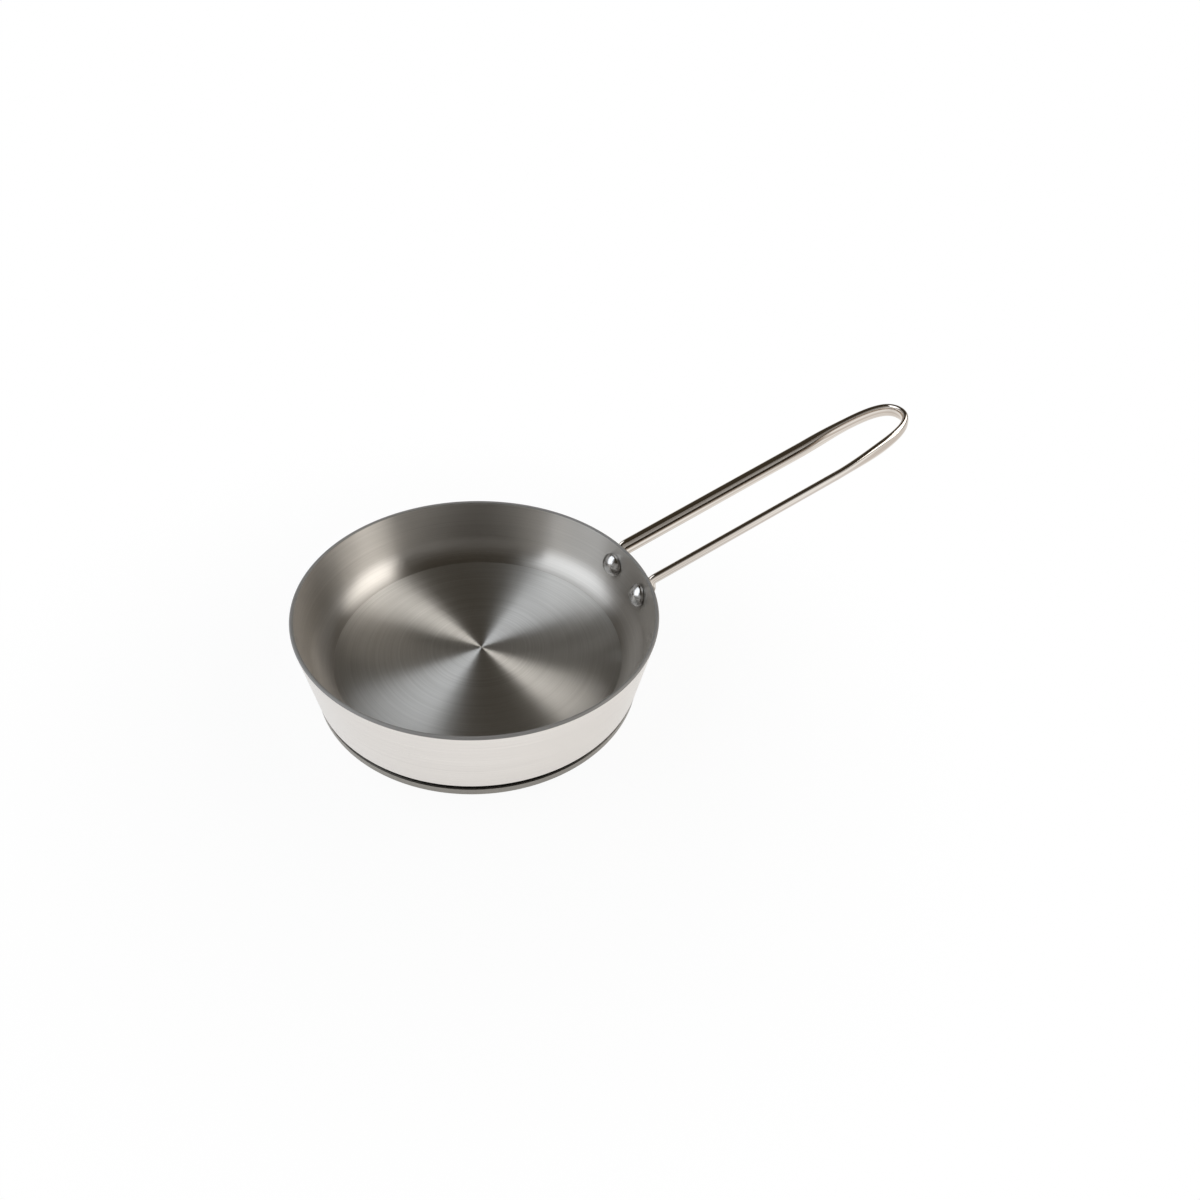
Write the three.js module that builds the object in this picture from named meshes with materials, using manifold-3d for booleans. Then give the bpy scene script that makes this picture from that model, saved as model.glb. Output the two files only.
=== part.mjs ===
// Egg pan: a small stainless frying pan with a sandwich base and a riveted bar-loop handle.
// Millimetres, +Z up. The origin is the centre of the underside, and the handle runs along +X.

import * as THREE from 'three';
import { mergeVertices } from 'three/addons/utils/BufferGeometryUtils.js';
import Module from 'manifold-3d';

const wasm = await Module();
wasm.setup();

// Bowl: one drawn body with a leaning wall, a rounded rim and a round corner creased at the floor
const RIM_RADIUS = 70;
const PAN_HEIGHT = 37;
const WALL_LEAN = 8.2;
const SHEET = 1.4;
const FLOOR_FILLET = 12.4;
const FLOOR_CREASE = 18;
const HEEL_FILLET = 1;

// Base: an aluminium core brazed between the bowl and a stainless cap
const CAP_STEP = 0.4;
const CAP_HEIGHT = 3.6;
const CAP_SHEET = 0.8;
const CAP_FILLET = 1.4;
const SEAM_GAP = 2;
const HEEL_RING = 4.5;
const CORE_THICKNESS = 8;
const BRAZE_FILM = 0.2;

// Handle: one bar bent to a loop, flattened to a tab at each end
const HANDLE_LENGTH = 139.8;
const HANDLE_RISE = 20;
const TAB_SPACING = 23.6;
const TAB_WIDTH = 9.4;
const TAB_THICKNESS = 2.4;
const TAB_REACH = 4.2;
const TAB_SEAT = 0.3;
const BEND_RADIUS = 5;
const LEG_HEIGHT = 6.9;
const LEG_THICKNESS = 3.2;
const LEG_LEAN = 22;
const LEG_SWAGE = 4;
const LOOP_WIDTH = 24.6;
const LOOP_CLOSE = 45;
const TIP_RUN = 31.5;
const TIP_HEIGHT = 6;
const TIP_THICKNESS = 3;
const TIP_FULLNESS = 10;
const TIP_LIFT = 2.3;
const TIP_UPRIGHT = 16;
const TAB_ROUNDNESS = 0.45;
const BAR_ROUNDNESS = 0.85;

// Rivets: domed head with an upright edge inside the wall, upset tail on the tab
const RIVET_DROP = 10;
const RIVET_HEAD = 10;
const RIVET_DOME = 4;
const RIVET_EDGE = 1.2;
const RIVET_SHANK = 4.6;
const RIVET_TAIL = 6;
const RIVET_TAIL_HEIGHT = 1.3;
const RIVET_SEAT = 0.2;
const SHANK_CLEARANCE = 0.3;

// Fineness of the round forms
const TURN_STEPS = 64;
const ARC_STEPS = 4;
const RIVET_STEPS = 20;
const SECTION_STEPS = 14;
const TAB_END_STEPS = 5;
const BEND_STEPS = 6;
const LEG_STEPS = 14;
const LEG_STEP_GROWTH = 2;
const TIP_STEPS = 10;
const SAME_POINT = 1e-6;

const QUARTER = Math.PI / 2;
const HALF = Math.PI;

// The wall: the level reach of a distance measured square to it, and its outside at any height
const wallLean = THREE.MathUtils.degToRad(WALL_LEAN);
const rimEdge = SHEET / 2;
const rimCentre = new THREE.Vector2(RIM_RADIUS - rimEdge, PAN_HEIGHT - rimEdge);
const across = (distance) => distance / Math.cos(wallLean);
const wallAt = (height) => rimCentre.x + across(rimEdge) + (height - rimCentre.y) * Math.tan(wallLean);

// Radii and heights of the base
const seamTop = CAP_HEIGHT + SEAM_GAP;
const capRadius = wallAt(seamTop) - CAP_STEP;
const spigotRadius = capRadius - CAP_SHEET - BRAZE_FILM;
const pocketRadius = spigotRadius - HEEL_RING;
const coreRadius = pocketRadius - BRAZE_FILM;
const coreBottom = CAP_SHEET + BRAZE_FILM;
const pocketCeiling = coreBottom + CORE_THICKNESS + BRAZE_FILM;
const floorHeight = pocketCeiling + SHEET;

// Places of the rivets
const rivetHeight = PAN_HEIGHT - RIVET_DROP;
const wallAtRivet = wallAt(rivetHeight);
const rivetAngle = Math.asin(TAB_SPACING / 2 / wallAtRivet);
const tabOutside = TAB_SEAT + TAB_THICKNESS;

// The inner corner, which stays below the rivet heads
const floorCrease = THREE.MathUtils.degToRad(FLOOR_CREASE);
const cornerRoom = rivetHeight - RIVET_HEAD / 2 - floorHeight;
const floorFillet = Math.min(FLOOR_FILLET, cornerRoom / (Math.cos(floorCrease) - Math.sin(wallLean)));

// One mesh geometry with shared corners, and without the empty triangles at a pole
function weld(geometry) {
  const bare = new THREE.BufferGeometry();
  bare.setAttribute('position', geometry.getAttribute('position'));
  bare.setIndex(geometry.getIndex());
  const merged = mergeVertices(bare);
  const corners = Array.from(merged.getIndex().array);
  const kept = [];
  for (let i = 0; i < corners.length; i += 3) {
    const [a, b, c] = corners.slice(i, i + 3);
    if (a !== b && b !== c && c !== a) {
      kept.push(a, b, c);
    }
  }
  merged.setIndex(kept);
  merged.computeVertexNormals();
  return merged;
}

function toSolid(geometry) {
  const welded = weld(geometry);
  return new wasm.Manifold(new wasm.Mesh({
    numProp: 3,
    vertProperties: Float32Array.from(welded.getAttribute('position').array),
    triVerts: Uint32Array.from(welded.getIndex().array),
  }));
}

function fromSolid(solid) {
  const mesh = solid.getMesh();
  const geometry = new THREE.BufferGeometry();
  geometry.setAttribute('position', new THREE.Float32BufferAttribute(mesh.vertProperties, 3));
  geometry.setIndex(Array.from(mesh.triVerts));
  geometry.computeVertexNormals();
  return geometry;
}

// The points of a profile, without the doubled ones where an arc meets a line
function outline(profile) {
  const points = profile.getPoints(ARC_STEPS);
  return points.filter((point, i) => i === 0 || point.distanceTo(points[i - 1]) > SAME_POINT);
}

// A profile in radius and height turned about the pan's axis
function turn(profile) {
  const geometry = new THREE.LatheGeometry(outline(profile), TURN_STEPS);
  geometry.rotateX(QUARTER);
  return weld(geometry);
}

// A profile turned about a rivet's axis, its heights counted outwards from the outside of the wall
function turnOnWall(profile, side) {
  const geometry = new THREE.LatheGeometry(outline(profile), RIVET_STEPS);
  geometry.rotateZ(-QUARTER);
  geometry.rotateY(wallLean);
  geometry.translate(wallAtRivet, 0, rivetHeight);
  geometry.rotateZ(side * rivetAngle);
  return weld(geometry);
}

// The bore for one rivet, from inside the bowl to outside the tab
function rivetBore(side) {
  const bore = RIVET_SHANK / 2 + SHANK_CLEARANCE;
  const inside = -SHEET - RIVET_HEAD;
  const outside = tabOutside + RIVET_HEAD;
  const profile = new THREE.Path();
  profile.moveTo(0, inside);
  profile.lineTo(bore, inside);
  profile.lineTo(bore, outside);
  profile.lineTo(0, outside);
  return toSolid(turnOnWall(profile, side));
}

function drillForRivets(geometry) {
  return fromSolid(toSolid(geometry).subtract(rivetBore(1)).subtract(rivetBore(-1)));
}

function panBowl() {
  const heelHeight = seamTop + HEEL_FILLET;
  const heelRadius = wallAt(heelHeight) - across(HEEL_FILLET);
  const cornerHeight = floorHeight + floorFillet * Math.cos(floorCrease);
  const cornerRadius = wallAt(cornerHeight) - across(SHEET + floorFillet);
  const profile = new THREE.Path();
  // Underside: pocket for the core, heel ring inside the cap, step at the seam
  profile.moveTo(0, pocketCeiling);
  profile.lineTo(pocketRadius, pocketCeiling);
  profile.lineTo(pocketRadius, coreBottom);
  profile.absarc(capRadius - CAP_FILLET, CAP_FILLET, CAP_FILLET - coreBottom, -QUARTER, 0, false);
  profile.lineTo(spigotRadius, seamTop);
  // Outside: rounded heel, leaning wall and the rounded edge of the rim
  profile.absarc(heelRadius, heelHeight, HEEL_FILLET, -QUARTER, -wallLean, false);
  profile.absarc(rimCentre.x, rimCentre.y, rimEdge, -wallLean, HALF - wallLean, false);
  // Inside: wall, round corner and cooking floor
  profile.absarc(cornerRadius, cornerHeight, floorFillet, -wallLean, floorCrease - QUARTER, true);
  profile.lineTo(0, floorHeight);
  return drillForRivets(turn(profile));
}

function coreDisc() {
  const profile = new THREE.Path();
  profile.moveTo(0, coreBottom);
  profile.lineTo(coreRadius, coreBottom);
  profile.lineTo(coreRadius, coreBottom + CORE_THICKNESS);
  profile.lineTo(0, coreBottom + CORE_THICKNESS);
  return turn(profile);
}

function baseCap() {
  const profile = new THREE.Path();
  profile.moveTo(0, 0);
  profile.lineTo(capRadius - CAP_FILLET, 0);
  profile.absarc(capRadius - CAP_FILLET, CAP_FILLET, CAP_FILLET, -QUARTER, 0, false);
  profile.lineTo(capRadius, CAP_HEIGHT);
  profile.lineTo(capRadius - CAP_SHEET, CAP_HEIGHT);
  profile.absarc(capRadius - CAP_FILLET, CAP_FILLET, CAP_FILLET - CAP_SHEET, 0, -QUARTER, true);
  profile.lineTo(0, CAP_SHEET);
  return turn(profile);
}

// One round of points on the bar: a rounded oblong with its height along up and its thickness along out
function barSection({ centre, up, out, height, thickness, lean, roundness }) {
  const round = (value) => Math.sign(value) * Math.abs(value) ** roundness;
  const tall = up.clone().multiplyScalar(Math.cos(lean)).addScaledVector(out, Math.sin(lean));
  const wide = out.clone().multiplyScalar(Math.cos(lean)).addScaledVector(up, -Math.sin(lean));
  const ring = [];
  for (let i = 0; i < SECTION_STEPS; i++) {
    const angle = 2 * HALF * i / SECTION_STEPS;
    const point = centre.clone();
    point.addScaledVector(tall, height / 2 * round(Math.sin(angle)));
    point.addScaledVector(wide, thickness / 2 * round(Math.cos(angle)));
    ring.push(point);
  }
  return ring;
}

// A closed skin over a row of rings with equal counts, with a flat fan at each end
function loft(rings) {
  const count = rings[0].length;
  const points = rings.flat();
  const faces = [];
  for (let ring = 0; ring < rings.length - 1; ring++) {
    for (let i = 0; i < count; i++) {
      const a = ring * count + i;
      const b = ring * count + (i + 1) % count;
      faces.push(a, b, b + count, a, b + count, a + count);
    }
  }
  const last = (rings.length - 1) * count;
  for (let i = 1; i < count - 1; i++) {
    faces.push(0, i + 1, i);
    faces.push(last, last + i, last + i + 1);
  }
  const geometry = new THREE.BufferGeometry().setFromPoints(points);
  geometry.setIndex(faces);
  return geometry;
}

// Stations of the bar from the end of one tab to the middle of the tip
function handleStations() {
  const { degToRad, lerp, smoothstep } = THREE.MathUtils;
  const rise = degToRad(HANDLE_RISE);
  const lean = degToRad(LEG_LEAN);
  const tabHalf = TAB_WIDTH / 2;
  const stations = [];

  // Tab: flat on the leaning wall, with a half-round end below the rivet
  const axis = new THREE.Vector3(0, 0, 1);
  const inward = new THREE.Vector3(-Math.cos(wallLean), 0, Math.sin(wallLean));
  const upward = new THREE.Vector3(Math.sin(wallLean), 0, Math.cos(wallLean));
  const along = new THREE.Vector3(0, 1, 0);
  const rivetPoint = new THREE.Vector3(wallAtRivet, 0, rivetHeight);
  rivetPoint.addScaledVector(inward, -TAB_SEAT - TAB_THICKNESS / 2);
  for (const vector of [inward, upward, along, rivetPoint]) {
    vector.applyAxisAngle(axis, rivetAngle);
  }
  for (let i = 1; i <= TAB_END_STEPS; i++) {
    const angle = QUARTER * i / TAB_END_STEPS;
    stations.push({
      centre: rivetPoint.clone().addScaledVector(upward, -tabHalf * Math.cos(angle)),
      up: inward,
      out: along,
      height: TAB_THICKNESS,
      thickness: TAB_WIDTH * Math.sin(angle),
      lean: 0,
      roundness: TAB_ROUNDNESS,
    });
  }

  // Bend: from up the wall to the handle's slope, turning off the wall's curve
  const tabTop = rivetPoint.clone().addScaledVector(upward, TAB_REACH);
  const bendTurn = QUARTER - rise - wallLean;
  const bendLength = BEND_RADIUS * bendTurn;
  const swage = bendLength + LEG_SWAGE;
  for (let i = 0; i <= BEND_STEPS; i++) {
    const share = i / BEND_STEPS;
    const angle = wallLean + bendTurn * share;
    const yaw = rivetAngle * (1 - smoothstep(share, 0, 1));
    const done = smoothstep(bendLength * share, 0, swage);
    const swing = new THREE.Vector3(
      Math.cos(wallLean) - Math.cos(angle), 0, Math.sin(angle) - Math.sin(wallLean));
    stations.push({
      centre: tabTop.clone().addScaledVector(swing, BEND_RADIUS),
      up: new THREE.Vector3(-Math.cos(angle), 0, Math.sin(angle)).applyAxisAngle(axis, yaw),
      out: new THREE.Vector3(0, 1, 0).applyAxisAngle(axis, yaw),
      height: lerp(TAB_THICKNESS, LEG_HEIGHT, done),
      thickness: lerp(TAB_WIDTH, LEG_THICKNESS, done),
      lean: 0,
      roundness: lerp(TAB_ROUNDNESS, BAR_ROUNDNESS, done),
    });
  }

  // Leg and tip: a plan drawn in the sloping plane of the loop
  const forward = new THREE.Vector3(Math.cos(rise), 0, Math.sin(rise));
  const side = new THREE.Vector3(0, 1, 0);
  const normal = new THREE.Vector3(-Math.sin(rise), 0, Math.cos(rise));
  const start = stations[stations.length - 1].centre.clone().setY(0);
  const legLength = HANDLE_LENGTH - LOOP_CLOSE;
  const shoulder = new THREE.Vector2(legLength, LOOP_WIDTH / 2);
  const leg = new THREE.LineCurve(new THREE.Vector2(0, tabTop.y), shoulder);
  const tip = new THREE.CubicBezierCurve(
    shoulder,
    shoulder.clone().add(new THREE.Vector2(TIP_RUN, 0)),
    new THREE.Vector2(HANDLE_LENGTH, TIP_FULLNESS),
    new THREE.Vector2(HANDLE_LENGTH, 0));
  const place = (curve, share, lift, size) => {
    const flat = curve.getPoint(share);
    const direction = curve.getTangent(share);
    const centre = start.clone().addScaledVector(forward, flat.x).addScaledVector(side, flat.y);
    stations.push({
      centre: centre.addScaledVector(normal, lift),
      up: normal,
      out: forward.clone().multiplyScalar(-direction.y).addScaledVector(side, direction.x),
      ...size,
    });
  };
  for (let i = 1; i <= LEG_STEPS; i++) {
    const share = (i / LEG_STEPS) ** LEG_STEP_GROWTH;
    const walked = legLength * share;
    const done = smoothstep(bendLength + walked, 0, swage);
    place(leg, share, 0, {
      height: lerp(TAB_THICKNESS, LEG_HEIGHT, done),
      thickness: lerp(TAB_WIDTH, LEG_THICKNESS, done),
      lean: lean * smoothstep(walked, 0, LEG_SWAGE),
      roundness: lerp(TAB_ROUNDNESS, BAR_ROUNDNESS, done),
    });
  }
  const uprightShare = TIP_UPRIGHT / tip.getLength();
  for (let i = 1; i <= TIP_STEPS; i++) {
    const share = i / TIP_STEPS;
    const done = smoothstep(share, 0, 1);
    place(tip, share, TIP_LIFT * Math.sin(QUARTER * share), {
      height: lerp(LEG_HEIGHT, TIP_HEIGHT, done),
      thickness: lerp(LEG_THICKNESS, TIP_THICKNESS, done),
      lean: lean * (1 - smoothstep(share, 0, uprightShare)),
      roundness: BAR_ROUNDNESS,
    });
  }
  return stations;
}

function handleLoop() {
  const half = handleStations().map(barSection);
  const mirrored = half.map((ring) => ring.map((point) => new THREE.Vector3(point.x, -point.y, point.z)));
  mirrored.pop();
  return drillForRivets(loft([...half, ...mirrored.reverse()]));
}

function rivet(side) {
  const headRadius = RIVET_HEAD / 2;
  const shankRadius = RIVET_SHANK / 2;
  const tailRadius = RIVET_TAIL / 2;
  const innerAtRivet = wallAtRivet - SHEET;
  const headSeat = Math.sqrt(innerAtRivet ** 2 - headRadius ** 2) - wallAtRivet - RIVET_SEAT;
  const tailSeat = tabOutside + RIVET_SEAT;
  const crown = RIVET_DOME - RIVET_EDGE;
  const domeRadius = (headRadius ** 2 + crown ** 2) / (2 * crown);
  const domeAngle = Math.asin(headRadius / domeRadius);
  const profile = new THREE.Path();
  profile.moveTo(0, headSeat - RIVET_DOME);
  profile.absarc(0, headSeat - RIVET_DOME + domeRadius, domeRadius, -QUARTER, domeAngle - QUARTER, false);
  profile.lineTo(headRadius, headSeat);
  profile.lineTo(shankRadius, headSeat);
  profile.lineTo(shankRadius, tailSeat);
  profile.lineTo(tailRadius, tailSeat);
  profile.quadraticCurveTo(tailRadius, tailSeat + RIVET_TAIL_HEIGHT, 0, tailSeat + RIVET_TAIL_HEIGHT);
  return turnOnWall(profile, side);
}

const brushedSteel = new THREE.MeshStandardMaterial({ color: 0xb9b8b4, roughness: 0.38, metalness: 1 });
const plainAluminium = new THREE.MeshStandardMaterial({ color: 0xc8cacc, roughness: 0.5, metalness: 1 });
const turnedSteel = new THREE.MeshStandardMaterial({ color: 0x8f8b85, roughness: 0.45, metalness: 1 });
const polishedSteel = new THREE.MeshStandardMaterial({ color: 0xcfc6bc, roughness: 0.12, metalness: 1 });
const rivetSteel = new THREE.MeshStandardMaterial({ color: 0xb4b4b6, roughness: 0.2, metalness: 1 });

function part(name, geometry, material) {
  const mesh = new THREE.Mesh(geometry, material);
  mesh.name = name;
  return mesh;
}

const pan = new THREE.Group();
pan.name = 'egg_pan';
pan.add(part('pan_bowl', panBowl(), brushedSteel));
pan.add(part('core_disc', coreDisc(), plainAluminium));
pan.add(part('base_cap', baseCap(), turnedSteel));
pan.add(part('handle_loop', handleLoop(), polishedSteel));
pan.add(part('rivet_left', rivet(1), rivetSteel));
pan.add(part('rivet_right', rivet(-1), rivetSteel.clone()));

export default pan;
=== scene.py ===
import math
import bpy
import numpy as np
from mathutils import Matrix, Quaternion, Vector


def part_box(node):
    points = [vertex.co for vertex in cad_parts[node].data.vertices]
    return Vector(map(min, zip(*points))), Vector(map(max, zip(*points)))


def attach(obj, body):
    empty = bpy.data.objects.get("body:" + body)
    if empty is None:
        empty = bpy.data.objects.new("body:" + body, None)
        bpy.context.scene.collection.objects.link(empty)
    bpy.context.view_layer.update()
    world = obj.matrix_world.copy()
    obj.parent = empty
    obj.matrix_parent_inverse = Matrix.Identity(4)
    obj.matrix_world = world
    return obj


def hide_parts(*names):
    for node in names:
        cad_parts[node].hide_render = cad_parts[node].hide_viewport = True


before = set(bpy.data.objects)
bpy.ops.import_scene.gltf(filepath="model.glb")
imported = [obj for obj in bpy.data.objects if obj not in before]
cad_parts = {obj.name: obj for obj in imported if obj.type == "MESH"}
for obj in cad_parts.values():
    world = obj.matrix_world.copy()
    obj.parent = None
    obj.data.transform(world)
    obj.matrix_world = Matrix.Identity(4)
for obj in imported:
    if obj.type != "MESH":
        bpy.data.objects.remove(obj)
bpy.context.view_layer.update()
print("frame loaded with", len(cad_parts), "nodes")

# Sizes are in mm and angles in degrees in the dictionaries below
mm = 0.001
quarter = math.pi / 2  # a quarter turn in radians

# Camera: heading is clockwise from +Y seen from above, and pitch is downwards
cameraFacts = dict(
    place=(-77.6, -213.3, 226.15),
    heading=31.74,
    pitch=39.54,
    roll=6.45,
    lens=22.5,
    sensor=36,
    clipStart=10,
)


def lookFrame(heading, pitch, roll):
    # right, up and look directions from the three angles, the roll turning right and up about look
    h, p, r = (math.radians(angle) for angle in (heading, pitch, roll))
    look = Vector((math.sin(h) * math.cos(p), math.cos(h) * math.cos(p), -math.sin(p)))
    level = Vector((math.cos(h), -math.sin(h), 0))
    steep = level.cross(look)
    right = level * math.cos(r) + steep * math.sin(r)
    up = steep * math.cos(r) - level * math.sin(r)
    return right, up, look


def makeCamera(facts):
    right, up, look = lookFrame(facts["heading"], facts["pitch"], facts["roll"])
    data = bpy.data.cameras.new("studyCamera")
    data.lens = facts["lens"]
    data.sensor_width = facts["sensor"]
    data.clip_start = facts["clipStart"] * mm
    camera = bpy.data.objects.new("studyCamera", data)
    turn = Matrix((right, up, -look)).transposed()
    camera.matrix_world = Matrix.Translation(Vector(facts["place"]) * mm) @ turn.to_4x4()
    bpy.context.scene.collection.objects.link(camera)
    bpy.context.scene.camera = camera


makeCamera(cameraFacts)
print("camera placed")

# Mesh helpers: everything is a grid of points, rows along a profile or path and columns around it
plainCrease = 35  # degrees between faces past which an edge stays sharp


def gridFaces(rows, columns):
    # quads between neighbouring rows, the columns closing on themselves
    lower = np.arange(rows - 1)[:, None] * columns
    upper = lower + columns
    here = np.arange(columns)[None, :]
    after = (here + 1) % columns
    return np.stack([lower + here, lower + after, upper + after, upper + here], axis=-1).reshape(-1, 4)


def putMesh(name, points, faces, sharpAngle=plainCrease):
    mesh = bpy.data.meshes.new(name)
    mesh.from_pydata(points.tolist(), [], faces)
    mesh.validate()
    mesh.shade_smooth()
    mesh.set_sharp_from_angle(angle=math.radians(sharpAngle))
    made = bpy.data.objects.new(name, mesh)
    bpy.context.scene.collection.objects.link(made)
    return made


def arc(centre, radius, start, end, steps):
    # points of a circle about centre, from one angle to another
    angle = np.linspace(start, end, steps + 1)[:, None]
    return np.array(centre) + radius * np.hstack([np.cos(angle), np.sin(angle)])


def run(start, end, steps=1):
    # evenly spaced points of a straight stretch
    share = np.linspace(0, 1, steps + 1)[:, None]
    return np.array(start) * (1 - share) + np.array(end) * share


def joinStretches(stretches, closest=1e-5):
    # one profile from named stretches, without doubled points, and the stretch that each step belongs to
    points = np.vstack([stretch for _, stretch in stretches])
    names = np.concatenate([[name] * len(stretch) for name, stretch in stretches])
    fresh = np.concatenate([[True], np.linalg.norm(np.diff(points, axis=0), axis=1) > closest])
    return points[fresh], names[fresh][1:]


def turnedPoints(profile, steps, axis=(0, 0, 1), across=(1, 0, 0), aside=(0, 1, 0), base=(0, 0, 0)):
    # each profile point (radius, height) swung round the axis:
    # base + height * axis + radius * (cos * across + sin * aside)
    angle = np.linspace(0, 2 * math.pi, steps, endpoint=False)
    spoke = np.cos(angle)[:, None] * np.array(across) + np.sin(angle)[:, None] * np.array(aside)
    return np.array(base) + profile[:, None, 1:] * np.array(axis) + profile[:, None, :1] * spoke


def makeTurned(name, profile, steps, sharpAngle=plainCrease, **place):
    # a profile that starts and ends on the axis, turned to a closed body with one point at each pole
    grid = turnedPoints(profile[1:-1], steps, **place)
    poles = turnedPoints(profile[[0, -1]], steps, **place)[:, 0]
    rows = len(grid)
    points = np.vstack([grid.reshape(-1, 3), poles]) * mm
    firstPole = rows * steps
    here = np.arange(steps)
    after = (here + 1) % steps
    lastRow = (rows - 1) * steps
    firstFan = np.stack([np.full(steps, firstPole), after, here], axis=-1)
    lastFan = np.stack([np.full(steps, firstPole + 1), lastRow + here, lastRow + after], axis=-1)
    faces = firstFan.tolist() + gridFaces(rows, steps).tolist() + lastFan.tolist()
    return putMesh(name, points, faces, sharpAngle)


def dress(piece, node, materials, zoneOfFace=None):
    # a piece's finishes, its body, the node that it stands for and its material slot
    for material in materials:
        piece.data.materials.append(material)
    if zoneOfFace is not None:
        piece.data.polygons.foreach_set("material_index", np.asarray(zoneOfFace, dtype=np.int32))
    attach(piece, "root")
    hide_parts(node)


# Material helpers
noiseRange = (0.3, 0.7)  # nearly all noise values lie in it
lineNoise = {"Scale": 1.0, "Detail": 2.0, "Roughness": 0.6}
smudgeNoise = {"Detail": 3.0}
acrossLines = 0.25  # share of a full turn from the tangent, which follows the lines


def addNode(tree, kind, inputs=None, **settings):
    # a node with its settings, each input linked where a socket is given and set where a value is
    node = tree.nodes.new(kind)
    for key, value in settings.items():
        setattr(node, key, value)
    for key, value in (inputs or {}).items():
        if isinstance(value, bpy.types.NodeSocket):
            tree.links.new(value, node.inputs[key])
        else:
            node.inputs[key].default_value = value
    return node


def maths(tree, operation, first, second=0.0):
    return addNode(tree, "ShaderNodeMath", {0: first, 1: second}, operation=operation).outputs[0]


def spread(tree, value, low, high):
    # carries a noise value from its usual range to low..high
    least, most = noiseRange
    facts = {"Value": value, "From Min": least, "From Max": most, "To Min": low, "To Max": high}
    return addNode(tree, "ShaderNodeMapRange", facts).outputs[0]


def turnedLines(tree, width, arcLength):
    # noise of (radius, height) over the line width, drifting slowly with x and y:
    # fine lines that follow the turning
    place = addNode(tree, "ShaderNodeTexCoord").outputs["Object"]
    axes = addNode(tree, "ShaderNodeSeparateXYZ", {0: place}).outputs
    flat = addNode(tree, "ShaderNodeVectorMath", {0: place, 1: (1, 1, 0)}, operation="MULTIPLY").outputs[0]
    radius = addNode(tree, "ShaderNodeVectorMath", {0: flat}, operation="LENGTH").outputs["Value"]
    fine = 1 / (width * mm)
    slow = 1 / (arcLength * mm)
    cross = addNode(tree, "ShaderNodeCombineXYZ", {
        "X": maths(tree, "MULTIPLY", radius, fine),
        "Y": maths(tree, "MULTIPLY", axes["Z"], fine),
        "Z": maths(tree, "MULTIPLY", axes["X"], slow),
    }).outputs[0]
    drift = maths(tree, "MULTIPLY", axes["Y"], slow)
    noise = addNode(
        tree, "ShaderNodeTexNoise", {"Vector": cross, "W": drift, **lineNoise}, noise_dimensions="4D")
    return noise.outputs[0]


def drawnLines(tree, width, length, girth, reach):
    # noise over (girth * u / line width, reach * v / line length): fine lines that run along the bar
    across = addNode(tree, "ShaderNodeVectorMath", {
        0: addNode(tree, "ShaderNodeTexCoord").outputs["UV"],
        1: (girth / width, reach / length, 0),
    }, operation="MULTIPLY").outputs[0]
    noise = addNode(tree, "ShaderNodeTexNoise", {"Vector": across, **lineNoise}, noise_dimensions="2D")
    return noise.outputs[0]


def smudges(tree, size):
    # soft noise in patches of about the given size
    place = addNode(tree, "ShaderNodeTexCoord").outputs["Object"]
    patch = 1 / (size * mm)
    return addNode(tree, "ShaderNodeTexNoise", {"Vector": place, "Scale": patch, **smudgeNoise}).outputs[0]


def steel(name, facts):
    # metal whose roughness, colour and bump follow its turned or drawn lines and soft smudges
    material = bpy.data.materials.new(name)
    material.use_nodes = True
    tree = material.node_tree
    shader = tree.nodes["Principled BSDF"]
    shader.inputs["Metallic"].default_value = 1
    shader.inputs["Anisotropic"].default_value = facts["anisotropy"]
    shader.inputs["Anisotropic Rotation"].default_value = acrossLines
    if "girth" in facts:
        lines = drawnLines(tree, facts["lineWidth"], facts["lineLength"], facts["girth"], facts["reach"])
    else:
        lines = turnedLines(tree, facts["lineWidth"], facts["lineLength"])
    smudge = smudges(tree, facts["smudgeSize"])
    lineRough = spread(tree, lines, -facts["lineRough"], facts["lineRough"])
    smudgeRough = spread(tree, smudge, -facts["smudgeRough"], facts["smudgeRough"])
    rough = maths(tree, "ADD", maths(tree, "ADD", lineRough, smudgeRough), facts["roughness"])
    tree.links.new(rough, shader.inputs["Roughness"])
    # a colour mix has its colours at inputs 6 and 7 and its result at output 2
    shade = addNode(tree, "ShaderNodeMix", {
        "Factor": spread(tree, lines, 0, 1),
        6: (*facts["darkColour"], 1),
        7: (*facts["lightColour"], 1),
    }, data_type="RGBA")
    tree.links.new(shade.outputs[2], shader.inputs["Base Color"])
    bump = addNode(tree, "ShaderNodeBump", {
        "Height": lines,
        "Strength": facts["bump"],
        "Distance": facts["lineWidth"] * mm,
    })
    tree.links.new(bump.outputs[0], shader.inputs["Normal"])
    if facts["anisotropy"] > 0:
        place = addNode(tree, "ShaderNodeTexCoord").outputs["Object"]
        around = addNode(tree, "ShaderNodeVectorMath", {0: (0, 0, 1), 1: place}, operation="CROSS_PRODUCT")
        tree.links.new(around.outputs[0], shader.inputs["Tangent"])
    return material


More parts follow.
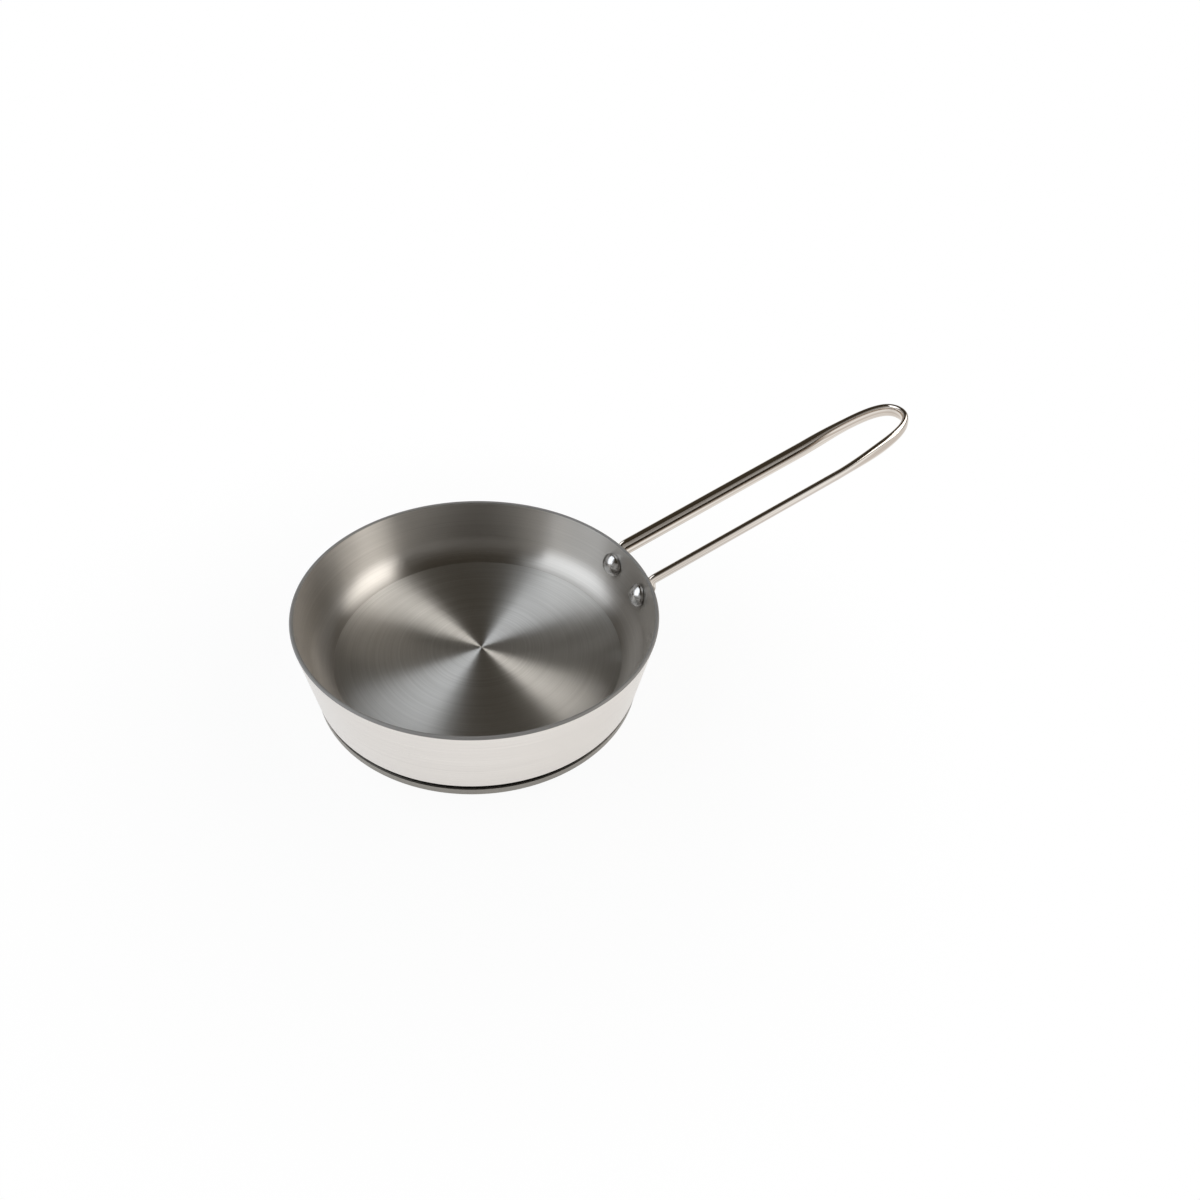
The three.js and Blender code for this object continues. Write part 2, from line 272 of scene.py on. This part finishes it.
# Bowl: drawn sheet with a leaning wall, a rounded rim and a round corner creased at the floor
bowlFacts = dict(
    wallLean=8.2,
    sheet=1.4,
    floorFillet=12.4,
    floorCrease=18,
    floorHeight=10.6,
    heelFillet=1,
    seamTop=5.6,
    spigotInset=1,  # the seam's depth behind the cap's edge
    ringWidth=4.5,
    ringBottom=1.2,  # height of the heel ring's underside, and its chamfer
    pocketCeiling=9.2,
    steps=288,
    pocketSteps=2,
    seamSteps=2,
    heelSteps=8,
    wallSteps=6,
    rimSteps=18,
    cornerSteps=24,
    floorSteps=12,
    sharpAngle=16,
)
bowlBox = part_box("pan_bowl")
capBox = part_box("base_cap")
rimRadius = bowlBox[1].x / mm
panHeight = bowlBox[1].z / mm
capRadius = capBox[1].x / mm
capHeight = capBox[1].z / mm
wallLean = math.radians(bowlFacts["wallLean"])
rimEdge = bowlFacts["sheet"] / 2
rimCentre = np.array([rimRadius - rimEdge, panHeight - rimEdge])


def wallAt(height, inside=0):
    # radius at a height of the outside of the wall, or of a cone so far inside it
    slant = (height - rimCentre[1]) * math.tan(wallLean)
    return rimCentre[0] + (rimEdge - inside) / math.cos(wallLean) + slant


floorSteel = dict(
    darkColour=(0.62, 0.602, 0.572), lightColour=(0.72, 0.702, 0.672), roughness=0.46, anisotropy=1.0,
    lineWidth=0.6, lineLength=60, lineRough=0.04, smudgeSize=25, smudgeRough=0.02, bump=0.06)
# painted shade: the inner wall's steel is coloured darker than the floor's, though both are one sheet
wallSteelPaintedShade = dict(
    darkColour=(0.47, 0.448, 0.42), lightColour=(0.53, 0.506, 0.476), roughness=0.33, anisotropy=1.0,
    lineWidth=0.5, lineLength=80, lineRough=0.01, smudgeSize=30, smudgeRough=0.012, bump=0.006)
# painted light: the outside's steel is coloured lighter and warmer than the inside's; its smoother polish
# is real
outsideSteelPaintedLight = dict(
    darkColour=(0.83, 0.79, 0.75), lightColour=(0.89, 0.85, 0.81), roughness=0.22, anisotropy=0.5,
    lineWidth=0.5, lineLength=60, lineRough=0.03, smudgeSize=30, smudgeRough=0.03, bump=0.02)
# painted shade: the rim's steel is coloured darker than the wall and outside beside it
lipSteelPaintedShade = dict(
    darkColour=(0.33, 0.32, 0.31), lightColour=(0.40, 0.39, 0.38), roughness=0.75, anisotropy=0,
    lineWidth=0.4, lineLength=60, lineRough=0.04, smudgeSize=20, smudgeRough=0.03, bump=0.03)
# painted shadow: the seam's groove between bowl and cap is coloured nearly black
seamSteelPaintedShadow = dict(
    darkColour=(0.05, 0.05, 0.047), lightColour=(0.09, 0.088, 0.083), roughness=0.6, anisotropy=0,
    lineWidth=0.4, lineLength=40, lineRough=0.08, smudgeSize=8, smudgeRough=0.08, bump=0.1)
# painted shade: the cap and the heel's underside are coloured darker than the bowl's outside
capSteelPaintedShade = dict(
    darkColour=(0.29, 0.272, 0.245), lightColour=(0.38, 0.36, 0.33), roughness=0.34, anisotropy=0.8,
    lineWidth=0.5, lineLength=60, lineRough=0.05, smudgeSize=25, smudgeRough=0.03, bump=0.05)
bowlFinishes = dict(
    under=("heelUndersidePaintedShade", capSteelPaintedShade),
    seam=("seamSteelPaintedShadow", seamSteelPaintedShadow),
    outside=("bowlOutsidePaintedLight", outsideSteelPaintedLight),
    lip=("bowlLipPaintedShade", lipSteelPaintedShade),
    wall=("bowlWallPaintedShade", wallSteelPaintedShade),
    floor=("bowlFloor", floorSteel),
)


def bowlProfile(facts):
    # underside, seam, heel arc, straight wall and rim arc, then back inside: wall, corner arc and floor
    sheet, heel, fillet = facts["sheet"], facts["heelFillet"], facts["floorFillet"]
    ceiling, seamTop, floor = facts["pocketCeiling"], facts["seamTop"], facts["floorHeight"]
    bottom = facts["ringBottom"]
    crease = math.radians(facts["floorCrease"])
    spigot = capRadius - facts["spigotInset"]
    pocket = spigot - facts["ringWidth"]
    outward = np.array([math.cos(wallLean), -math.sin(wallLean)])
    heelCentre = np.array([wallAt(seamTop + heel, heel), seamTop + heel])
    cornerHeight = floor + fillet * math.cos(crease)
    corner = np.array([wallAt(cornerHeight, sheet + fillet), cornerHeight])
    floorEdge = corner[0] + fillet * math.sin(crease)
    wallFoot, wallHead = heelCentre + outward * heel, rimCentre + outward * rimEdge
    insideHead, insideFoot = rimCentre - outward * rimEdge, corner + outward * fillet
    return joinStretches([
        ("under", run((0, ceiling), (pocket, ceiling), facts["pocketSteps"])),
        ("under", run((pocket, bottom), (spigot - bottom, bottom))),
        ("seam", run((spigot, 2 * bottom), (spigot, seamTop), facts["seamSteps"])),
        ("seam", run((spigot, seamTop), (heelCentre[0], seamTop))),
        ("outside", arc(heelCentre, heel, -quarter, -wallLean, facts["heelSteps"])),
        ("outside", run(wallFoot, wallHead, facts["wallSteps"])),
        ("lip", arc(rimCentre, rimEdge, -wallLean, math.pi - wallLean, facts["rimSteps"])),
        ("wall", run(insideHead, insideFoot, facts["wallSteps"])),
        ("wall", arc(corner, fillet, -wallLean, crease - quarter, facts["cornerSteps"])),
        ("floor", run((floorEdge, floor), (0, floor), facts["floorSteps"])),
    ])


profile, stretchNames = bowlProfile(bowlFacts)
bowl = makeTurned("bowl", profile, bowlFacts["steps"], bowlFacts["sharpAngle"])
zones = list(bowlFinishes)
zoneOfRow = np.array([zones.index(name) for name in stretchNames])
bowlMaterials = [steel(*finish) for finish in bowlFinishes.values()]
dress(bowl, "pan_bowl", bowlMaterials, np.repeat(zoneOfRow, bowlFacts["steps"]))
print("bowl made with", len(bowl.data.polygons), "faces")

# Base cap: stainless cup over the core
capFacts = dict(
    sheet=0.8, fillet=1.4, steps=288,
    floorSteps=10, cornerSteps=8, wallSteps=2, insideCornerSteps=6, insideFloorSteps=3)


def capProfile(facts):
    # flat underside, corner arc, short wall, top edge, and back inside
    sheet, fillet = facts["sheet"], facts["fillet"]
    flat = capRadius - fillet
    inner = capRadius - sheet
    return joinStretches([
        ("cap", run((0, 0), (flat, 0), facts["floorSteps"])),
        ("cap", arc((flat, fillet), fillet, -quarter, 0, facts["cornerSteps"])),
        ("cap", run((capRadius, fillet), (capRadius, capHeight), facts["wallSteps"])),
        ("cap", run((inner, capHeight), (inner, fillet), facts["wallSteps"])),
        ("cap", arc((flat, fillet), fillet - sheet, 0, -quarter, facts["insideCornerSteps"])),
        ("cap", run((flat, sheet), (0, sheet), facts["insideFloorSteps"])),
    ])[0]


cap = makeTurned("baseCap", capProfile(capFacts), capFacts["steps"])
dress(cap, "base_cap", [steel("capSteelPaintedShade", capSteelPaintedShade)])
print("base cap made")

# Core: the sealed disc keeps its own shape
coreAluminium = dict(
    darkColour=(0.72, 0.73, 0.74), lightColour=(0.80, 0.81, 0.82), roughness=0.5, anisotropy=0,
    lineWidth=0.8, lineLength=60, lineRough=0.05, smudgeSize=25, smudgeRough=0.05, bump=0.05)
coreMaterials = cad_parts["core_disc"].data.materials
coreMaterials.clear()
coreMaterials.append(steel("coreAluminium", coreAluminium))
print("core finished")

# Handle: one bar swept from tab to tab, its section going from a flat tab to a leaning oblong
handleFacts = dict(
    length=139.76, rise=20,  # from the bend to the tip, and its slope
    tabSpacing=23.6, tabWidth=9.4, tabThickness=2.4, tabReach=4.2, tabSeat=0.3,
    tabStart=0.6,  # share of a step that the half-round end leaves off for its flat
    bendRadius=5, swageShort=1.6,  # the section is the leg's so far before the bend ends
    legHeight=6.9, legThickness=3.2, legLean=22, legCrowding=1.5,  # rows crowd towards the bend
    loopWidth=24.6, loopClose=45,
    tipRun=31.5, tipHeight=6, tipThickness=3, tipFullness=10, tipLift=2.3, tipUpright=16,
    tabRoundness=0.45, barRoundness=0.85,
    sectionSteps=48, tabSteps=14, bendSteps=24, legSteps=90, tipSteps=70,
)
rivetFacts = dict(
    drop=10, head=10, dome=4, edge=1.2, shank=4.6, tail=6, tailHeight=1.3, seat=0.2,
    steps=64, domeSteps=14, straightSteps=2, crownSteps=12)
rivetHeight = panHeight - rivetFacts["drop"]
wallAtRivet = wallAt(rivetHeight)
rivetAngle = math.asin(handleFacts["tabSpacing"] / 2 / wallAtRivet)


def wallFrame(side):
    # the wall's point at a rivet, with the directions out of it, along it and up it
    turn = side * rivetAngle
    ahead = np.array([math.cos(turn), math.sin(turn), 0])
    along = np.array([-math.sin(turn), math.cos(turn), 0])
    upright = np.array([0, 0, 1])
    outward = ahead * math.cos(wallLean) - upright * math.sin(wallLean)
    upward = ahead * math.sin(wallLean) + upright * math.cos(wallLean)
    return ahead * wallAtRivet + upright * rivetHeight, outward, along, upward


def smooth(share):
    # eases from 0 to 1: 3 * share^2 - 2 * share^3
    share = np.clip(share, 0, 1)
    return share * share * (3 - 2 * share)


def mix(start, end, share):
    return start + (end - start) * share


def column(values):
    return np.asarray(values, dtype=float)[:, None]


def station(centre, up, out, height, thickness, lean, roundness):
    # rows of one stretch of the bar: its points, its two directions and the sizes of its section
    rows = (len(centre), 1)
    sizes = [np.broadcast_to(np.asarray(size, float).reshape(-1, 1), rows)
             for size in (height, thickness, lean, roundness)]
    return np.hstack([centre, up * np.ones(rows), out * np.ones(rows), *sizes])


def handleStations(facts):
    # rows from one tab's end to the middle of the tip: tab, bend, leg and half of the tip
    rise = math.radians(facts["rise"])
    lean = math.radians(facts["legLean"])
    xAxis, yAxis, zAxis = np.eye(3)
    forward = xAxis * math.cos(rise) + zAxis * math.sin(rise)
    normal = zAxis * math.cos(rise) - xAxis * math.sin(rise)
    wallPoint, outward, along, upward = wallFrame(1)
    tabMiddle = wallPoint + outward * (facts["tabSeat"] + facts["tabThickness"] / 2)

    # tab: flat on the leaning wall, its half-round end below the rivet
    angle = quarter * (np.arange(facts["tabSteps"]) + facts["tabStart"]) / facts["tabSteps"]
    tabCentre = tabMiddle - column(np.cos(angle)) * upward * facts["tabWidth"] / 2
    tab = station(tabCentre, -outward, along, facts["tabThickness"], facts["tabWidth"] * np.sin(angle),
                  0, facts["tabRoundness"])

    # bend: an arc from the wall's lean to the rise, yawing off the wall's curve as it goes,
    # while the section and its lean change from the tab's to the leg's
    bendTurn = quarter - rise - wallLean
    bendLength = facts["bendRadius"] * bendTurn
    share = np.linspace(0, 1, facts["bendSteps"] + 1)
    angle = wallLean + bendTurn * share
    yaw = rivetAngle * (1 - smooth(share))
    tabTop = tabMiddle + upward * facts["tabReach"]
    swing = (column(math.cos(wallLean) - np.cos(angle)) * xAxis
             + column(np.sin(angle) - math.sin(wallLean)) * zAxis)
    bendCentre = tabTop + facts["bendRadius"] * swing
    ahead = column(np.cos(yaw)) * xAxis + column(np.sin(yaw)) * yAxis
    beside = column(np.cos(yaw)) * yAxis - column(np.sin(yaw)) * xAxis
    done = smooth(bendLength * share / (bendLength - facts["swageShort"]))
    bend = station(bendCentre, column(np.sin(angle)) * zAxis - column(np.cos(angle)) * ahead, beside,
                   mix(facts["tabThickness"], facts["legHeight"], done),
                   mix(facts["tabWidth"], facts["legThickness"], done),
                   lean * done, mix(facts["tabRoundness"], facts["barRoundness"], done))

    # leg: a straight line in the sloping plane, (distance, side)
    start = bendCentre[-1] * (1, 0, 1)
    legLength = facts["length"] - facts["loopClose"]
    share = (np.arange(1, facts["legSteps"] + 1) / facts["legSteps"]) ** facts["legCrowding"]
    shoulder = np.array([legLength, facts["loopWidth"] / 2])
    legPlan = mix(np.array([0, tabTop[1]]), shoulder, column(share))
    leg = station(start + legPlan[:, :1] * forward + legPlan[:, 1:] * yAxis, normal, yAxis,
                  facts["legHeight"], facts["legThickness"], lean, facts["barRoundness"])

    # tip: a cubic curve in the same plane, lifted a little, on which the bar turns upright
    share = np.arange(1, facts["tipSteps"] + 1) / facts["tipSteps"]
    t = column(share)
    pulls = np.array([shoulder, shoulder + [facts["tipRun"], 0], [facts["length"], facts["tipFullness"]],
                      [facts["length"], 0]])
    weights = np.hstack([(1 - t) ** 3, 3 * t * (1 - t) ** 2, 3 * t ** 2 * (1 - t), t ** 3])
    slopes = np.hstack([(1 - t) ** 2, 2 * t * (1 - t), t ** 2]) @ np.diff(pulls, axis=0)
    slopes /= np.linalg.norm(slopes, axis=1, keepdims=True)
    tipPlan = weights @ pulls
    tipLength = np.linalg.norm(np.diff(np.vstack([shoulder, tipPlan]), axis=0), axis=1).sum()
    lift = column(facts["tipLift"] * np.sin(quarter * share)) * normal
    tip = station(start + tipPlan[:, :1] * forward + tipPlan[:, 1:] * yAxis + lift,
                  normal, slopes[:, :1] * yAxis - slopes[:, 1:] * forward,
                  mix(facts["legHeight"], facts["tipHeight"], smooth(share)),
                  mix(facts["legThickness"], facts["tipThickness"], smooth(share)),
                  lean * (1 - smooth(share * tipLength / facts["tipUpright"])), facts["barRoundness"])
    return np.vstack([tab, bend, leg, tip])


def barPoints(rows, steps):
    # a rounded oblong at each station, tall and wide being up and out turned by the lean:
    # height / 2 * sign(sin) * |sin|^round * tall + thickness / 2 * sign(cos) * |cos|^round * wide
    centre, up, out = rows[:, 0:3], rows[:, 3:6], rows[:, 6:9]
    height, thickness, lean, roundness = (rows[:, i:i + 1] for i in range(9, 13))
    tall = up * np.cos(lean) + out * np.sin(lean)
    wide = out * np.cos(lean) - up * np.sin(lean)
    angle = np.linspace(0, 2 * math.pi, steps, endpoint=False)[None, :]
    rising = np.sign(np.sin(angle)) * np.abs(np.sin(angle)) ** roundness * height / 2
    across = np.sign(np.cos(angle)) * np.abs(np.cos(angle)) ** roundness * thickness / 2
    return centre[:, None] + rising[..., None] * tall[:, None] + across[..., None] * wide[:, None]


def makeHandle(facts):
    # half of the loop and its mirror image, with a flat face on each end
    half = barPoints(handleStations(facts), facts["sectionSteps"])
    mirrored = half[-2::-1] * (1, -1, 1)
    grid = np.concatenate([half, mirrored])
    rows, columns = grid.shape[:2]
    around = np.arange(columns)
    caps = [around[::-1].tolist(), ((rows - 1) * columns + around).tolist()]
    made = putMesh("handleLoop", grid.reshape(-1, 3) * mm, gridFaces(rows, columns).tolist() + caps)
    # map: u is the share of the way round the bar, v the share of the way along it
    walked = np.concatenate([[0], np.cumsum(np.linalg.norm(np.diff(grid.mean(axis=1), axis=0), axis=1))])
    row, spot = np.meshgrid(np.arange(rows - 1), around, indexing="ij")
    u = np.stack([spot, spot + 1, spot + 1, spot], axis=-1) / columns
    v = walked[np.stack([row, row, row + 1, row + 1], axis=-1)] / walked[-1]
    capCorners = np.zeros(2 * len(caps) * columns)
    corners = np.concatenate([np.stack([u, v], axis=-1).ravel(), capCorners])
    made.data.uv_layers.new(name="barMap").data.foreach_set("uv", corners)
    return made


handleSteel = dict(
    darkColour=(0.50, 0.43, 0.37), lightColour=(0.80, 0.75, 0.69), roughness=0.09, anisotropy=0,
    lineWidth=0.7, lineLength=160, girth=16, reach=350,  # girth and reach of the bar that the map covers
    lineRough=0.02, smudgeSize=12, smudgeRough=0.02, bump=0.003)
handle = makeHandle(handleFacts)
dress(handle, "handle_loop", [steel("handleSteel", handleSteel)])
print("handle made with", len(handle.data.polygons), "faces")

# Rivets: domed head inside the wall, upset tail on the tab, heights counted out from the wall's outside
# painted shade: the rivets' steel is coloured darker, standing in for the dark side of the heads
rivetSteelPaintedShade = dict(
    darkColour=(0.50, 0.49, 0.48), lightColour=(0.58, 0.57, 0.56), roughness=0.24, anisotropy=0,
    lineWidth=0.5, lineLength=10, lineRough=0.03, smudgeSize=5, smudgeRough=0.04, bump=0.02)


def rivetProfile(facts):
    # dome arc with a short upright edge, shank, and a tail whose crown is half an ellipse
    radius = facts["head"] / 2
    shank = facts["shank"] / 2
    innerAtRivet = wallAtRivet - bowlFacts["sheet"]
    seat = math.sqrt(innerAtRivet ** 2 - radius ** 2) - wallAtRivet - facts["seat"]
    dome = facts["dome"] - facts["edge"]
    bend = (radius ** 2 + dome ** 2) / (2 * dome)
    turn = math.asin(radius / bend)
    top = seat - facts["dome"]
    tailSeat = handleFacts["tabSeat"] + handleFacts["tabThickness"] + facts["seat"]
    tail = facts["tail"] / 2
    crown = arc((0, 0), 1, 0, quarter, facts["crownSteps"]) * (tail, facts["tailHeight"]) + (0, tailSeat)
    return joinStretches([
        ("rivet", arc((0, top + bend), bend, -quarter, turn - quarter, facts["domeSteps"])),
        ("rivet", run((radius, seat - facts["edge"]), (radius, seat), facts["straightSteps"])),
        ("rivet", run((shank, seat), (shank, tailSeat), facts["straightSteps"])),
        ("rivet", crown),
    ])[0]


rivetPaintedShadeMaterial = steel("rivetSteelPaintedShade", rivetSteelPaintedShade)
for node, name, side in (("rivet_left", "rivetleft", 1), ("rivet_right", "rivetright", -1)):
    wallPoint, outward, along, upward = wallFrame(side)
    rivet = makeTurned(
        name, rivetProfile(rivetFacts), rivetFacts["steps"],
        axis=outward, across=along, aside=upward, base=wallPoint)
    dress(rivet, node, [rivetPaintedShadeMaterial])
print("rivets made")

# Stage: a white floor that sweeps up to a white wall all round
stageFacts = dict(
    middle=50, reach=3000, sweep=500, wallTop=2100, drop=0.1,
    steps=96, floorSteps=6, sweepSteps=12, wallSteps=2,
    paint=(0.9, 0.9, 0.89), shadowReach=220, cameraShadow=0.06, mirrorShadow=0.35,
    mirrorReach=(900, 3600), mirrorFar=0.2)


def stageMaterial(facts):
    # white to camera, mirror and see-through rays, fading in mirrors with distance,
    # and near the pan a share of the lit floor with its shadow
    material = bpy.data.materials.new("stageWhite")
    material.use_nodes = True
    tree = material.node_tree
    tree.nodes.remove(tree.nodes["Principled BSDF"])
    paint = addNode(tree, "ShaderNodeBsdfDiffuse", {"Color": (*facts["paint"], 1)})
    white = addNode(tree, "ShaderNodeEmission", {"Color": (1, 1, 1, 1), "Strength": 1.0})
    path = addNode(tree, "ShaderNodeLightPath").outputs
    place = addNode(tree, "ShaderNodeTexCoord").outputs["Object"]
    distance = addNode(tree, "ShaderNodeVectorMath", {0: place}, operation="LENGTH").outputs["Value"]
    near = addNode(tree, "ShaderNodeMapRange", {
        "Value": distance, "From Min": capRadius * mm, "From Max": facts["shadowReach"] * mm,
        "To Min": 1.0, "To Max": 0.0}, interpolation_type="SMOOTHSTEP").outputs[0]
    seen = maths(tree, "MULTIPLY", path["Is Camera Ray"],
                 maths(tree, "SUBTRACT", 1.0, maths(tree, "MULTIPLY", near, facts["cameraShadow"])))
    bounced = maths(tree, "MAXIMUM", path["Is Glossy Ray"], path["Is Transmission Ray"])
    full, faded = facts["mirrorReach"]
    fading = addNode(tree, "ShaderNodeMapRange", {
        "Value": distance, "From Min": full * mm, "From Max": faded * mm,
        "To Min": 1.0, "To Max": facts["mirrorFar"]}).outputs[0]
    mirrored = maths(tree, "MULTIPLY", maths(tree, "MULTIPLY", bounced, fading),
                     maths(tree, "SUBTRACT", 1.0, maths(tree, "MULTIPLY", near, facts["mirrorShadow"])))
    blend = addNode(tree, "ShaderNodeMixShader", {
        0: maths(tree, "MAXIMUM", seen, mirrored), 1: paint.outputs[0], 2: white.outputs[0]})
    tree.links.new(blend.outputs[0], tree.nodes["Material Output"].inputs["Surface"])
    return material


def makeStage(facts):
    # floor, quarter-round sweep and upright wall turned about the pan, with one flat face in the middle
    reach, floor = facts["reach"], -facts["drop"]
    corner = (reach - facts["sweep"], facts["sweep"] - facts["drop"])
    stretches = [
        ("stage", run((facts["middle"], floor), (corner[0], floor), facts["floorSteps"])),
        ("stage", arc(corner, facts["sweep"], -quarter, 0, facts["sweepSteps"])),
        ("stage", run((reach, corner[1]), (reach, facts["wallTop"]), facts["wallSteps"])),
    ]
    grid = turnedPoints(joinStretches(stretches)[0], facts["steps"])
    rows, columns = grid.shape[:2]
    faces = gridFaces(rows, columns)[:, ::-1].tolist() + [np.arange(columns).tolist()]
    stage = putMesh("stageSweep", grid.reshape(-1, 3) * mm, faces)
    stage.data.materials.append(stageMaterial(facts))


makeStage(stageFacts)
print("stage made")

# Light: a long softbox on each side of the camera's view and a faint room
lightFacts = dict(
    room=(0.05, 0.041, 0.028),
    distance=800,
    boxes=[  # bearings clockwise from the camera
        dict(name="leftSoftbox", bearing=-74, elevation=43, roll=36, width=650, height=1000,
             radiance=2.0, tint=(0.94, 1.0, 1.07)),
        dict(name="rightSoftbox", bearing=101, elevation=37, roll=-45, width=400, height=900,
             radiance=3.0, tint=(1.0, 0.98, 0.945)),
    ],
)


def makeLights(facts):
    world = bpy.data.worlds.new("room")
    world.use_nodes = True
    world.node_tree.nodes["Background"].inputs["Color"].default_value = (*facts["room"], 1)
    bpy.context.scene.world = world
    toCamera = math.radians(180 + cameraFacts["heading"])
    for box in facts["boxes"]:
        bearing = toCamera - math.radians(box["bearing"])
        height = math.radians(box["elevation"])
        level = Vector((math.sin(bearing), math.cos(bearing), 0))
        away = level * math.cos(height) + Vector((0, 0, math.sin(height)))
        data = bpy.data.lights.new(box["name"], "AREA")
        data.shape = "RECTANGLE"
        data.size = box["width"] * mm
        data.size_y = box["height"] * mm
        data.color = box["tint"]
        data.energy = box["radiance"] * math.pi * data.size * data.size_y
        lamp = bpy.data.objects.new(box["name"], data)
        lamp.location = away * facts["distance"] * mm
        aim = away.to_track_quat("Z", "Y") @ Quaternion((0, 0, 1), math.radians(box["roll"]))
        lamp.rotation_euler = aim.to_euler()
        lamp.visible_camera = False
        bpy.context.scene.collection.objects.link(lamp)


makeLights(lightFacts)
bpy.context.scene.view_settings.view_transform = "Standard"
print("lights placed")
